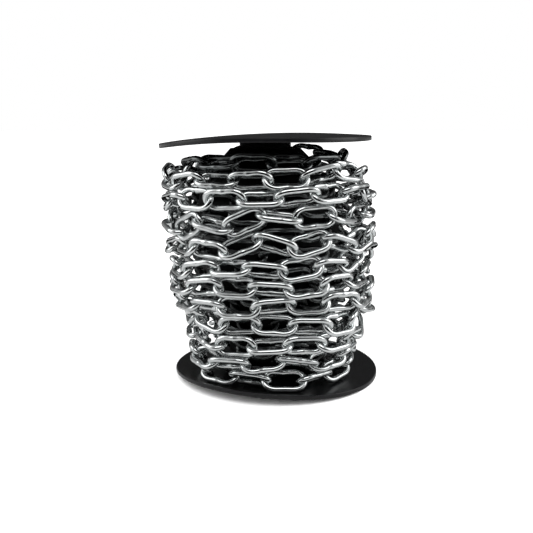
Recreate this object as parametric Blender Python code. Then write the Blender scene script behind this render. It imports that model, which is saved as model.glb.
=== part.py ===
# Reel of steel chain.
#
# A black plastic reel stands on its lower flange and carries a loosely
# wound length of welded steel chain. The reel leans a little to -X, and
# its upper flange is bent by the load. The two outer layers of the chain
# are links, and one plain core fills the place of the deeper ones.
#
# Metres, +Z up. The front of the reel faces -Y.

import math

import bmesh
import bpy
import numpy as np

for old in list(bpy.data.objects):
    bpy.data.objects.remove(old, do_unlink=True)

MM = 0.001

# Reel
FLANGE_RADIUS = 92.5 * MM
FLANGE_THICKNESS = 4.0 * MM
UPPER_FLANGE_MID = 212.4 * MM
BARREL_RADIUS = 22.5 * MM
BARREL_BORE = 19.5 * MM
BARREL_TOP = 209.4 * MM
ARBOR_RADIUS = 13.0 * MM
PLUG_LENGTH = 12.0 * MM
RIM_EDGE = 0.4 * MM
FACE_RINGS = (60.0 * MM, 78.0 * MM)
SIDES = 28
GAP = 0.3 * MM

# The axis of the reel stands AXIS_FOOT to +X on the floor and runs to -X
# by LEAN metres for each metre of height.
AXIS_FOOT = 5.3 * MM
LEAN = 0.0497

# The upper flange tilts and droops at its sides, and the lower flange
# lifts off the floor at its front left edge.
UPPER_TILT = 3.55 * MM
UPPER_DROOP = 3.65 * MM
LOWER_LIFT = 8.0 * MM
LOWER_LIFT_BEARING = math.radians(-27.0)
LOWER_LIFT_POWER = 2.5
FLAT_RADIUS = 50.0 * MM

# Chain. The wire of each layer has a number of flat sides, and a radius to
# its corners.
WIRE_RADIUS = 2.5 * MM
WIRE_CORNER = 2.6 * MM
OUTER_WIRE = (5, WIRE_CORNER)
INNER_WIRE = (3, 2.69 * MM)
LINK_LENGTH = 40.0 * MM
LINK_WIDTH = 20.0 * MM
PITCH = 29.2 * MM
LEAST_SPAN = 55.2 * MM
LEAST_SPAN_BETWEEN_TURNS = 56.9 * MM
TIP_ANGLE = math.radians(27.0)
NEAREST_WIRES = 6.1 * MM
WINDING_LIMIT = 90.8 * MM
SIDE_BULGE = 5.5 * MM
SIDE_LIMIT = 97.1 * MM
SLACK = 0.15

# How far hooks lie out of line, in mm up and outwards, and how far links
# are rolled from their neighbour's quarter turn, in degrees.
JOG_UP = 3.2
JOG_OUT = 3.6
ROLL_SCATTER = 20.0
SCATTER_START = 2.6
SCATTER_STEP = 12.9898
SCATTER_SPREAD = 437.585453

# Settling of the chain: rounds, the share of each push that is made at once,
# and the pull back to the first place during the first half of the rounds.
OUTER_ROUNDS = 400
INNER_ROUNDS = 240
PUSH_SHARE = 0.6
HOMING_SHARE = 0.03
PITCH_REPEATS = 3

# Bearings in degrees that the hooks of a row reach on both sides of the
# front, and where the chain ends behind the highest turn.
FRONT_REACH = 86.0
LAST_BEARING = 245.0
BEHIND = 270.0

# How far the corners of the wire stand out where a link bends.
MITRE = 1.2

# One row for each turn of the outer layer, from the lowest to the highest:
# heights in mm at five bearings, radii in mm at the same bearings, the
# bearing in degrees of one hook near the front, and the roll in degrees of
# the link to the right of that hook. Bearing 0 is the front and 90 is +X.
# A roll of 90 shows the link's full face, and a roll of 0 its edge.
BEARINGS = (-90.0, -45.0, 0.0, 45.0, 90.0)
TURNS = (
    ((12, 12, 13, 17, 18), (66, 70, 73, 67, 64), -4.5, -45),
    ((21, 27, 33, 35, 34), (73, 74, 76, 70, 66), -15.9, -45),
    ((36, 42, 49, 57, 52), (73, 75, 80, 80, 78), 4.7, 62),
    ((52, 58, 65, 72, 67), (76, 78, 80, 82, 85), -11.4, -45),
    ((68, 76, 82, 86, 81), (84, 83, 82, 83, 87), -10.5, 45),
    ((85, 94, 99, 101, 95), (88, 84, 81, 83, 87), 8.6, -45),
    ((103, 110, 116, 115, 109), (85, 84, 83, 84, 86), -12.0, 45),
    ((121, 127, 133, 131, 123), (89, 84, 83, 84, 86), -5.7, 45),
    ((139, 143, 149, 145, 138), (90, 85, 83, 84, 87), -2.0, -12),
    ((156, 160, 164, 161, 153), (90, 85, 83, 85, 90), 5.0, 45),
    ((174, 178, 181, 181, 172), (88, 80, 76, 80, 86), 20.1, 45),
    ((182, 187, 194, 193, 189), (62, 62, 62, 64, 70), 4.0, -45),
)

# Outer face of the inner layer at the front, and at the sides and the back:
# height and radius in mm.
INNER_FRONT = (
    (4.4, 51.0),
    (42.0, 54.0),
    (60.0, 62.0),
    (78.0, 67.5),
    (158.0, 67.5),
    (174.0, 56.0),
    (203.0, 49.0),
)
INNER_SIDES = (
    (4.4, 51.0),
    (42.0, 56.0),
    (60.0, 65.0),
    (78.0, 72.5),
    (158.0, 73.5),
    (176.0, 64.0),
    (203.0, 49.0),
)

# Outer face of the core, in the same way.
CORE_FACE = (
    (4.4, 28.0),
    (42.0, 31.0),
    (60.0, 38.5),
    (78.0, 44.0),
    (150.0, 44.0),
    (174.0, 31.0),
    (203.0, 25.0),
)

# Rows of the inner layer: height of the lowest in mm, spacing, number, rise
# at the five bearings, depth of the hooks below the outer face, the roll of
# the links, and how far the rows are turned against each other in degrees.
INNER_FOOT = 12.5
INNER_SPACING = 17.4
INNER_COUNT = 11
INNER_SLOPES = (-2.0, -1.0, 1.0, 2.0, 0.0)
INNER_DEPTH = 10.4
INNER_ROLL = 45.0
INNER_PHASES = 9.0


def axis_x(height):
    """Where the leaning axis of the reel is at a height."""
    return AXIS_FOOT - LEAN * height


def lower_lift(x, y):
    """How far the lower flange lies above its flat middle."""
    radius = math.hypot(x, y)
    facing = max(0.0, math.cos(math.atan2(x, -y) - LOWER_LIFT_BEARING))
    rise = max(0.0, (radius - FLAT_RADIUS) / (FLANGE_RADIUS - FLAT_RADIUS))
    return LOWER_LIFT * facing**2 * rise**LOWER_LIFT_POWER


def upper_bend(x, y):
    """How far the upper flange lies above a flat disc."""
    side = x / FLANGE_RADIUS
    depth = y / FLANGE_RADIUS
    curve = 0.5 * (side + side**3) + 0.5 * depth * (side - side**3)
    return UPPER_TILT * curve - UPPER_DROOP * side**2


# Winding


def face_radius(face, height):
    """Radius of a face at a height, from its heights and radii in mm."""
    heights, radii = zip(*face)
    return np.interp(height / MM, heights, radii) * MM


def inner_face(height, x, y):
    """Radius of the inner layer's outer face, at a height and in a direction."""
    ahead = np.maximum(0.0, -y) ** 2 / (x**2 + y**2)
    front = face_radius(INNER_FRONT, height)
    return face_radius(INNER_SIDES, height) * (1.0 - ahead) + front * ahead


def core_face(height, x, y):
    """Radius of the core at a height."""
    return face_radius(CORE_FACE, height)


def inner_limit(height, x, y):
    """Radius that the inner layer stays within."""
    return inner_face(height, x, y) - GAP


def outer_limit(height, x, y):
    """Radius that the outer layer stays within."""
    return WINDING_LIMIT + SIDE_BULGE * x**2 / (x**2 + y**2)


def scatter(index, low, high):
    """A repeatable value between low and high for a link."""
    value = math.sin(index * SCATTER_STEP + SCATTER_START) * SCATTER_SPREAD
    return low + (high - low) * (value - math.floor(value))


def inner_row(turn):
    """Heights, radii, phase and roll of a row of the inner layer."""
    heights = tuple(INNER_FOOT + INNER_SPACING * turn + slope for slope in INNER_SLOPES)
    radii = []
    for height, bearing in zip(heights, BEARINGS):
        turned = math.radians(bearing)
        face = inner_face(height * MM, math.sin(turned), -math.cos(turned))
        radii.append(float(face) / MM - INNER_DEPTH)
    return heights, tuple(radii), scatter(turn, INNER_PHASES, -INNER_PHASES), INNER_ROLL


def turn_step(radius):
    """Degrees between two hooks at a radius in mm."""
    return math.degrees(2.0 * math.asin(PITCH / (2.0 * MM * radius)))


def hooks_of_chain(rows):
    """Turn and bearing of each hook, and the rolls of the links in front."""
    hooks = []
    rolls = {}
    for turn, (heights, radii, phase, roll) in enumerate(rows):
        step = turn_step(radii[2])
        before = int((FRONT_REACH + phase) // step)
        after = int((FRONT_REACH - phase) // step)
        if hooks:
            start = hooks[-1][1]
            span = phase - before * step + 360.0 - start
            behind = (rows[turn - 1][1][-1] + radii[0]) / 2.0
            count = round(span / turn_step(behind) + SLACK)
            for place in range(1, count):
                hooks.append((turn - 1, start + span * place / count))
        zero = len(hooks) + before
        for place in range(-before, after + 1):
            hooks.append((turn, phase + place * step))
        for place in range(-before, after):
            twist = scatter(zero + place, -ROLL_SCATTER, ROLL_SCATTER)
            rolls[zero + place] = roll + 90.0 * place + twist
        rolls[zero] = roll
    start = hooks[-1][1]
    for place in range(1, 1 + int((LAST_BEARING - start) // step)):
        hooks.append((turn, start + place * step))
    return hooks, rolls


def roll_of_links(known, count):
    """Rolls of all links. Each turns about 90 degrees from the one before."""
    rolls = [0.0] * count
    places = sorted(known)
    for index in range(count):
        earlier = max([place for place in places if place <= index], default=places[0])
        later = min([place for place in places if place > earlier], default=earlier)
        steps = later - earlier
        extra = 0.0
        if steps > 0:
            extra = (known[later] - known[earlier] - 90.0 * steps + 90.0) % 180.0 - 90.0
            extra = extra / steps
        rolls[index] = known[earlier] + (90.0 + extra) * (index - earlier)
    return np.radians(np.array(rolls))


def place_hook(rows, index, turn, bearing):
    """A hook's point from its turn's heights and radii, a little out of line."""
    following = rows[min(turn + 1, len(rows) - 1)]
    stations = BEARINGS + (BEHIND,)
    height = np.interp(bearing, stations, rows[turn][0] + (following[0][0],))
    radius = np.interp(bearing, stations, rows[turn][1] + (following[1][0],))
    height = (height + scatter(index + HEIGHT_SHIFT, -JOG_UP, JOG_UP)) * MM
    radius = (radius + scatter(index + RADIUS_SHIFT, -JOG_OUT, JOG_OUT)) * MM
    turned = math.radians(bearing)
    x = axis_x(height) + radius * math.sin(turned)
    return x, -radius * math.cos(turned), height


def link_frames(points, rolls):
    """Centre, long direction, broad direction and face normal of each link."""
    centres = (points[1:] + points[:-1]) / 2.0
    along = points[1:] - points[:-1]
    along /= np.linalg.norm(along, axis=1)[:, None]
    out = centres.copy()
    out[:, 0] -= AXIS_FOOT - LEAN * centres[:, 2]
    out[:, 2] = 0.0
    out -= np.sum(out * along, axis=1)[:, None] * along
    out /= np.linalg.norm(out, axis=1)[:, None]
    up = np.cross(out, along)
    broad = np.cos(rolls)[:, None] * out + np.sin(rolls)[:, None] * up
    return centres, along, broad, np.cross(along, broad)


def link_outline():
    """Eight points along the wire of a link, in the plane of the link."""
    half = (LINK_LENGTH - LINK_WIDTH) / 2.0
    bend = LINK_WIDTH / 2.0 - WIRE_RADIUS
    tip = bend * math.tan(TIP_ANGLE)
    quarter = [(half, bend), (half + bend, tip)]
    right = quarter + [(x, -y) for x, y in reversed(quarter)]
    return np.array(right + [(-x, -y) for x, y in right])


OUTLINE = link_outline()

# Places of the wire points and of the middles between them, by which half
# of the link they are in. The middles of the long sides are in both.
FIRST_HALF = (4, 5, 6, 7, 11, 12, 13, 14, 15)
SECOND_HALF = (0, 1, 2, 3, 8, 9, 10, 11, 15)

# Places of the two tips, and how far along the list the scatter of a hook's
# height and radius is read.
TIP_PLACES = (1, 5)
HEIGHT_SHIFT = 3
RADIUS_SHIFT = 5


def wire_points(points, rolls):
    """The eight wire points of every link, in space."""
    centres, along, broad = link_frames(points, rolls)[:3]
    reach = OUTLINE[None, :, 0, None] * along[:, None, :]
    width = OUTLINE[None, :, 1, None] * broad[:, None, :]
    return centres[:, None, :] + reach + width


def nearest_of_segments(p, u, q, v):
    """Vector between the nearest points of segments p + s u and q + t v."""
    w = p - q
    a = np.sum(u * u, axis=-1)
    b = np.sum(u * v, axis=-1)
    c = np.sum(v * v, axis=-1)
    d = np.sum(u * w, axis=-1)
    e = np.sum(v * w, axis=-1)
    cross = a * c - b * b
    s = np.clip((b * e - c * d) / np.maximum(cross, 1e-16), 0.0, 1.0)
    t = np.clip((b * s + e) / c, 0.0, 1.0)
    s = np.clip((b * t - d) / a, 0.0, 1.0)
    return w + s[..., None] * u - t[..., None] * v


def push_links_apart(points, rolls):
    """One push of every pair of links whose wires come too near."""
    wires = wire_points(points, rolls)
    sides = np.roll(wires, -1, axis=1) - wires
    centres = wires.mean(axis=1)
    apart = np.linalg.norm(centres[:, None] - centres[None], axis=2)
    first, second = np.nonzero(apart < LINK_LENGTH + 2.0 * WIRE_RADIUS)
    keep = second - first > 1
    first = first[keep]
    second = second[keep]
    between = nearest_of_segments(
        wires[first][:, :, None],
        sides[first][:, :, None],
        wires[second][:, None, :],
        sides[second][:, None, :],
    ).reshape(len(first), -1, 3)
    distance = np.linalg.norm(between, axis=2)
    closest = distance.argmin(axis=1)
    rows = np.arange(len(first))
    gap = distance[rows, closest]
    way = between[rows, closest] / np.maximum(gap, 1e-6)[:, None]
    lack = np.maximum(0.0, NEAREST_WIRES - gap)[:, None]
    push = np.zeros_like(centres)
    np.add.at(push, first, 0.5 * lack * way)
    np.add.at(push, second, -0.5 * lack * way)
    return push


def keep_in_place(points, rolls, inside, outside):
    """Pushes on each link's two hooks, off what lies inside, the flanges and the limit."""
    corners = wire_points(points, rolls)
    middles = (corners + np.roll(corners, -1, axis=1)) / 2.0
    wires = np.concatenate([corners, middles], axis=1)
    x = wires[..., 0] - (AXIS_FOOT - LEAN * wires[..., 2])
    y = wires[..., 1]
    height = wires[..., 2]
    radius = np.hypot(x, y)
    margin = MITRE * WIRE_CORNER + GAP
    inward = inside(height, x, y) + margin - radius
    beyond = np.maximum(radius - outside(height, x, y), np.abs(wires[..., 0]) - SIDE_LIMIT)
    outward = beyond + WIRE_CORNER
    facing = np.maximum(0.0, np.cos(np.arctan2(x, -y) - LOWER_LIFT_BEARING))
    rise = np.maximum(0.0, (radius - FLAT_RADIUS) / (FLANGE_RADIUS - FLAT_RADIUS))
    lift = LOWER_LIFT * facing**2 * rise**LOWER_LIFT_POWER
    below = FLANGE_THICKNESS + lift + margin - height
    side = x / FLANGE_RADIUS
    roof = UPPER_FLANGE_MID - UPPER_DROOP * side**2 + UPPER_TILT * np.minimum(side, side**3)
    above = height - roof + FLANGE_THICKNESS / 2.0 + margin
    out = np.stack([x.mean(axis=1), y.mean(axis=1), np.zeros(len(x))], axis=1)
    out /= np.linalg.norm(out, axis=1)[:, None]
    pushes = []
    for half in (FIRST_HALF, SECOND_HALF):
        worst_in = np.maximum(inward[:, half].max(axis=1), 0.0)
        worst_out = np.maximum(outward[:, half].max(axis=1), 0.0)
        push = (worst_in - worst_out)[:, None] * out
        push[:, 2] += np.maximum(below[:, half].max(axis=1), 0.0)
        push[:, 2] -= np.maximum(above[:, half].max(axis=1), 0.0)
        pushes.append(push)
    return pushes


def hold_pitch(points):
    """Bring each two neighbouring hooks back to the pitch."""
    for start in (0, 1):
        left = points[start:-1:2]
        right = points[start + 1 :: 2]
        left = left[: len(right)]
        span = right - left
        length = np.linalg.norm(span, axis=1)[:, None]
        shift = 0.5 * (length - PITCH) / length * span
        points[start : start + 2 * len(right) : 2][: len(right)] += shift
        points[start + 1 :: 2] -= shift


def hold_bend(points, least):
    """Keep each hook's neighbours apart, so that no hook folds sharply."""
    span = points[2:] - points[:-2]
    length = np.linalg.norm(span, axis=1)[:, None]
    shift = 0.5 * np.maximum(0.0, least - length) / length * span
    points[2:] += shift
    points[:-2] -= shift


def settle(rows, inside, outside, rounds):
    """Settled hook points of a layer's links, their rolls, and each link's turn."""
    hooks, known = hooks_of_chain(rows)
    goal = np.array([place_hook(rows, index, *hook) for index, hook in enumerate(hooks)])
    rolls = roll_of_links(known, len(hooks) - 1)
    points = goal.copy()
    turns = np.array([turn for turn, bearing in hooks[:-1]])
    joins = turns[1:] != turns[:-1]
    least = np.where(joins, LEAST_SPAN_BETWEEN_TURNS, LEAST_SPAN)[:, None]
    for count in range(rounds):
        push = push_links_apart(points, rolls)
        at_first, at_second = keep_in_place(points, rolls, inside, outside)
        share = np.zeros_like(points)
        share[:-1] += PUSH_SHARE * (push + at_first)
        share[1:] += PUSH_SHARE * (push + at_second)
        points += share
        if count < rounds // 2:
            points += HOMING_SHARE * (goal - points)
        hold_bend(points, least)
        for repeat in range(PITCH_REPEATS):
            hold_pitch(points)
    return points, rolls, turns


# Meshes


def new_object(name, mesh_maker, material):
    """An object whose mesh a function fills."""
    bm = bmesh.new()
    mesh_maker(bm)
    bmesh.ops.recalc_face_normals(bm, faces=bm.faces)
    mesh = bpy.data.meshes.new(name)
    bm.to_mesh(mesh)
    bm.free()
    mesh.materials.append(material)
    made = bpy.data.objects.new(name, mesh)
    bpy.context.scene.collection.objects.link(made)
    return made


def new_material(name, colour, roughness, metallic):
    """A plain finish."""
    material = bpy.data.materials.new(name)
    material.use_nodes = True
    shader = material.node_tree.nodes["Principled BSDF"]
    shader.inputs["Base Color"].default_value = (*colour, 1.0)
    shader.inputs["Roughness"].default_value = roughness
    shader.inputs["Metallic"].default_value = metallic
    return material


def turned(bm, profile):
    """Spin a closed outline of (radius, height) points about the Z axis."""
    ring = [bm.verts.new((radius, 0.0, height)) for radius, height in profile]
    edges = [bm.edges.new((ring[k - 1], ring[k])) for k in range(len(ring))]
    bmesh.ops.spin(
        bm,
        geom=ring + edges,
        cent=(0.0, 0.0, 0.0),
        axis=(0.0, 0.0, 1.0),
        angle=2.0 * math.pi,
        steps=SIDES,
        use_merge=True,
    )


def lean_over(bm):
    """Move every point sideways onto the leaning axis."""
    for vert in bm.verts:
        vert.co.x += axis_x(vert.co.z)


def flange_profile(plug_way):
    """Half section of a flange about its own middle, with its plug up or down."""
    half = FLANGE_THICKNESS / 2.0
    plug_radius = BARREL_BORE - GAP
    rim = FLANGE_RADIUS - RIM_EDGE
    outer_face = [(ARBOR_RADIUS, -half)] + [(radius, -half) for radius in FACE_RINGS]
    edge = [
        (rim, -half),
        (FLANGE_RADIUS, RIM_EDGE - half),
        (FLANGE_RADIUS, half - RIM_EDGE),
        (rim, half),
    ]
    back_face = [(radius, half) for radius in reversed(FACE_RINGS)]
    plug = [
        (plug_radius, half),
        (plug_radius, half + PLUG_LENGTH),
        (ARBOR_RADIUS, half + PLUG_LENGTH),
    ]
    points = outer_face + edge + back_face + plug
    return [(radius, plug_way * height) for radius, height in points]


def lower_flange(bm):
    """The flange on the floor, with its front left edge lifted."""
    turned(bm, flange_profile(1.0))
    for vert in bm.verts:
        vert.co.z += FLANGE_THICKNESS / 2.0 + lower_lift(vert.co.x, vert.co.y)
    lean_over(bm)


def upper_flange(bm):
    """The tilted and drooping flange on top."""
    turned(bm, flange_profile(-1.0))
    for vert in bm.verts:
        vert.co.z += UPPER_FLANGE_MID + upper_bend(vert.co.x, vert.co.y)
    lean_over(bm)


def barrel(bm):
    """The tube between the flanges."""
    foot = FLANGE_THICKNESS + GAP
    outline = (
        (BARREL_BORE, foot),
        (BARREL_RADIUS, foot),
        (BARREL_RADIUS, BARREL_TOP),
        (BARREL_BORE, BARREL_TOP),
    )
    turned(bm, outline)
    lean_over(bm)


def deeper_turns(bm):
    """The turned solid in place of the deeper layers, around the barrel."""
    inner = BARREL_RADIUS + GAP
    outer = [(radius * MM, height * MM) for height, radius in CORE_FACE]
    outline = [(inner, outer[0][1])] + outer + [(inner, outer[-1][1])]
    turned(bm, outline)
    lean_over(bm)


def ring_corners(frame, wire):
    """Wire corners of one link: a list of eight rings of corners."""
    centre, along, broad, normal = frame
    wire_sides, wire_corner = wire
    sides = np.roll(OUTLINE, -1, axis=0) - OUTLINE
    facing = np.stack([-sides[:, 1], sides[:, 0]], axis=1)
    facing /= np.linalg.norm(facing, axis=1)[:, None]
    rings = []
    for place, (reach, width) in enumerate(OUTLINE):
        outward = facing[place] + facing[place - 1]
        outward /= np.linalg.norm(outward)
        if np.dot(outward, OUTLINE[place]) < 0.0:
            outward = -outward
        stretch = 1.0 / abs(np.dot(outward, facing[place]))
        middle = centre + reach * along + width * broad
        across = (outward[0] * along + outward[1] * broad) * stretch
        ring = []
        for corner in range(wire_sides):
            angle = 2.0 * math.pi * corner / wire_sides
            ring.append(middle + wire_corner * (math.cos(angle) * across + math.sin(angle) * normal))
        rings.append(ring)
    return rings


def add_link(bm, frame, wire):
    """One link. Returns the inner faces of its two tips, last tip first."""
    rings = [[bm.verts.new(corner) for corner in ring] for ring in ring_corners(frame, wire)]
    wire_sides = len(rings[0])
    tips = []
    for place, ring in enumerate(rings):
        following = rings[(place + 1) % len(rings)]
        for corner in range(wire_sides):
            after = (corner + 1) % wire_sides
            face = bm.faces.new((ring[corner], ring[after], following[after], following[corner]))
            if place in TIP_PLACES and corner == wire_sides // 2:
                tips.append(face)
    return tips


def join_hook(bm, tip, next_tip):
    """Open two facing tip faces and join their edges with a short neck."""
    loop = list(tip.verts)
    other = list(next_tip.verts)
    bm.faces.remove(tip)
    bm.faces.remove(next_tip)

    def span(shift):
        return sum((loop[k].co - other[(shift - k) % 4].co).length for k in range(4))

    shift = min(range(4), key=span)
    for k in range(4):
        after = k + 1
        corners = (loop[k], loop[after % 4], other[(shift - after) % 4], other[(shift - k) % 4])
        bm.faces.new(corners)


def chain_turn(frames, wire):
    """A function that fills a mesh with one turn of links, fused where they hook."""

    def fill(bm):
        earlier = None
        for frame in frames:
            tips = add_link(bm, frame, wire)
            if earlier is not None:
                join_hook(bm, earlier, tips[1])
            earlier = tips[0]

    return fill


def add_layer(name, settled, wire, material):
    """One object for each turn of a settled layer."""
    points, rolls, turns = settled
    frames = list(zip(*link_frames(points, rolls)))
    for turn in range(max(turns) + 1):
        members = [frame for frame, own in zip(frames, turns) if own == turn]
        new_object(f"{name}_{turn + 1:02d}", chain_turn(members, wire), material)


def main():
    plastic = new_material("black_plastic", (0.012, 0.012, 0.013), 0.35, 0.0)
    steel = new_material("zinc_plated_steel", (0.72, 0.73, 0.74), 0.22, 1.0)
    hidden = new_material("hidden_chain", (0.10, 0.10, 0.11), 0.5, 1.0)

    new_object("flange_bottom", lower_flange, plastic)
    new_object("flange_top", upper_flange, plastic)
    new_object("barrel", barrel, plastic)
    new_object("chain_core", deeper_turns, hidden)

    outer = settle(TURNS, inner_face, outer_limit, OUTER_ROUNDS)
    add_layer("chain_turn", outer, OUTER_WIRE, steel)
    inner_rows = tuple(inner_row(turn) for turn in range(INNER_COUNT))
    inner = settle(inner_rows, core_face, inner_limit, INNER_ROUNDS)
    add_layer("inner_turn", inner, INNER_WIRE, steel)


main()
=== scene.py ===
# %% [markdown]
# # A reel of steel chain
# A black plastic reel stands on its lower flange and carries a loosely wound
# length of bright, zinc plated chain. The plain solids of the reel and of
# the turns of chain are loaded first. The cells below then make each of them
# again with its real outline: thin rims, round wire and hooked links, in an
# outer layer, an inner one behind it with painted shade in its zinc, and a
# heart, dark with painted shade, with the last links that can be seen.

# %% Load the plain solids
import math

import bmesh
import bpy
import numpy as np
from mathutils import Matrix, Vector


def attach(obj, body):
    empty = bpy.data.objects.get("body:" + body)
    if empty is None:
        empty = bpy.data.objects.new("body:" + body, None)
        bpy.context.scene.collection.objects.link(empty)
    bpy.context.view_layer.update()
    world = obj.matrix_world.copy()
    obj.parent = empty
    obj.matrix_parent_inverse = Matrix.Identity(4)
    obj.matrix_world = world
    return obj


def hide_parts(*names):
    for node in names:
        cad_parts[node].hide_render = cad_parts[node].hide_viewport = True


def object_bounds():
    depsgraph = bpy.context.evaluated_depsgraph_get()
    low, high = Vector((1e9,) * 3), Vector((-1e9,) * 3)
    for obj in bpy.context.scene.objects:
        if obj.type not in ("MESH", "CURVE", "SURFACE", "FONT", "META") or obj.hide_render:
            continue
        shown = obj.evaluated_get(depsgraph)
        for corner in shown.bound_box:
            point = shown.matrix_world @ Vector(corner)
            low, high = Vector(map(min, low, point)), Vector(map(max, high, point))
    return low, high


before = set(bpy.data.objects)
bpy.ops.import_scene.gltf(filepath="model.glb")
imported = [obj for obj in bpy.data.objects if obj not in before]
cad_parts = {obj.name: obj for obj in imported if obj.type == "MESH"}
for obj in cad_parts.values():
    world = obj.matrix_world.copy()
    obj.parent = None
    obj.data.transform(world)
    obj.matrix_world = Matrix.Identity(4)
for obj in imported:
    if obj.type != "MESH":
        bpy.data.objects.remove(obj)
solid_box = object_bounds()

MM = 0.001
print("solids:", sorted(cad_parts))

# %% [markdown]
# ## Helpers for finishes
# A finish is a small graph of nodes. One function adds a node, sets its
# values and wires its inputs, so each finish below reads as a short list.
# Colours are written as they look on a screen and turned to linear here,
# because the renderer adds light, and light adds up only in linear values.

# %% A screen colour as linear light
def linear(screen_hex):
    """The linear colour of a screen colour such as #D8DADC, by the sRGB curve."""
    parts = [int(screen_hex[k : k + 2], 16) / 255.0 for k in (1, 3, 5)]
    light = [c / 12.92 if c <= 0.04045 else ((c + 0.055) / 1.055) ** 2.4 for c in parts]
    return (*light, 1.0)


print("mid grey as light:", round(linear("#808080")[0], 3))

# %% One node with its settings and links
def add_node(tree, kind, settings=None, **inputs):
    """Add a node. An input is a value, or the output socket that feeds it."""
    node = tree.nodes.new(kind)
    for name, value in (settings or {}).items():
        setattr(node, name, value)
    for name, value in inputs.items():
        socket = node.inputs[int(name[1:]) if name[1:].isdigit() else name.replace("_", " ")]
        if isinstance(value, bpy.types.NodeSocket):
            tree.links.new(value, socket)
        else:
            socket.default_value = value
    return node


def new_finish(name):
    """An empty material with its node tree and its surface shader."""
    finish = bpy.data.materials.new(name)
    finish.use_nodes = True
    return finish, finish.node_tree, finish.node_tree.nodes["Principled BSDF"]


def blend_colours(tree, share, first, second):
    """A mix of two colours by a share from 0 to 1."""
    node = add_node(tree, "ShaderNodeMix", {"data_type": "RGBA"}, _0=share)
    node.inputs[6].default_value = first
    node.inputs[7].default_value = second
    return node.outputs[2]


# %% [markdown]
# ## Zinc plated steel
# The links are mild steel wire, welded shut and zinc plated in a barrel.
# A thin bright zinc layer gives a cool, light grey metal, and the tumbling
# leaves it sharp enough to mirror the room, with soft dull patches where
# links rubbed. Zinc's colour is a light grey. A typical roughness for bright
# zinc is 0.15 to 0.3. These wires mirror the room more sharply than that, so
# it is 0.09 to 0.2 here. A metal keeps the default IOR.
# The patches follow a noise of 4 mm, about a wire's width. The fine ripple
# of the plating is about 0.1 mm on the real thing, too fine to show, so it
# is drawn at 0.8 mm. Each link carries its own tone, because links lie
# differently in the bath.
# Deep in a winding the wires mirror only other dark wires. A few darker
# copies of the same finish paint that shade into the colour, without a
# denser winding.

# %% The zinc finish
WIRE_PATCH = 4.0 * MM
PATCH_CONTRAST = 1.1
PATCH_START = -0.45
PLATING_RIPPLE = 0.8 * MM
RIPPLE_HEIGHT = 0.03 * MM
RIPPLE_STRENGTH = 0.05


def zinc_finish(name, bright, dull, sheen_low, sheen_high):
    """Bright zinc, between two colours and between two roughnesses."""
    finish, tree, shader = new_finish(name)
    place = add_node(tree, "ShaderNodeTexCoord").outputs["Object"]
    patch = add_node(tree, "ShaderNodeTexNoise", Vector=place, Scale=1.0 / WIRE_PATCH, Detail=3.0)
    tone = add_node(tree, "ShaderNodeAttribute", {"attribute_name": "tone"})
    worn = add_node(
        tree, "ShaderNodeMath", {"operation": "MULTIPLY_ADD", "use_clamp": True},
        _0=patch.outputs["Fac"], _1=PATCH_CONTRAST, _2=PATCH_START,
    )
    share = add_node(
        tree, "ShaderNodeMath", {"operation": "ADD", "use_clamp": True},
        _0=worn.outputs[0], _1=tone.outputs["Fac"],
    )
    colour = blend_colours(tree, share.outputs[0], linear(bright), linear(dull))
    tree.links.new(colour, shader.inputs["Base Color"])
    rough = add_node(
        tree, "ShaderNodeMapRange",
        Value=share.outputs[0], To_Min=sheen_low, To_Max=sheen_high,
    )
    tree.links.new(rough.outputs[0], shader.inputs["Roughness"])
    ripple = add_node(
        tree, "ShaderNodeTexNoise", Vector=place, Scale=1.0 / PLATING_RIPPLE, Detail=2.0,
    )
    bump = add_node(
        tree, "ShaderNodeBump",
        Height=ripple.outputs["Fac"], Strength=RIPPLE_STRENGTH, Distance=RIPPLE_HEIGHT,
    )
    tree.links.new(bump.outputs[0], shader.inputs["Normal"])
    shader.inputs["Metallic"].default_value = 1.0
    return finish


zinc = zinc_finish("bright_zinc_plated_steel", "#CDD0D0", "#8D9091", 0.09, 0.2)
# A darker copy of the zinc, with shade painted into its colours, for the inner layer and the turn
# under the upper flange.
painted_shade_zinc = zinc_finish("zinc_plated_steel_with_painted_shade", "#6A6D6D", "#383A3A", 0.12, 0.26)
# A still darker copy of the zinc, with painted deep shade, for the deepest links.
painted_deep_shade_zinc = zinc_finish("zinc_plated_steel_with_painted_deep_shade", "#454747", "#242525", 0.2, 0.36)
# Near black steel for the heart: painted shade where no light reaches.
painted_shade_steel = zinc_finish("steel_darkened_with_painted_shade", "#1C1D1D", "#0C0C0D", 0.6, 0.9)
print("metal finishes:", zinc.name, painted_shade_zinc.name, painted_deep_shade_zinc.name, painted_shade_steel.name)

# %% [markdown]
# ## Moulded black plastic
# Reels of this kind are injection moulded from high impact polystyrene,
# coloured right through with carbon black. Its IOR is 1.59. The mould is
# satin, so the face is even and nearly black with a soft sheen, weaker than
# the default one because the face is slightly rough. Two things
# break it up: broad flow marks that run out from the hub, about 12 mm wide,
# and a fine grain of about 0.6 mm, drawn at that size.

# %% The plastic finish
FLOW_MARK = 12.0 * MM
MOULD_GRAIN = 0.6 * MM
GRAIN_HEIGHT = 0.05 * MM
GRAIN_STRENGTH = 0.15
SATIN_ROUGHNESS = (0.22, 0.38)
POLYSTYRENE_IOR = 1.59
SOFT_SHEEN = 0.2


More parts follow.
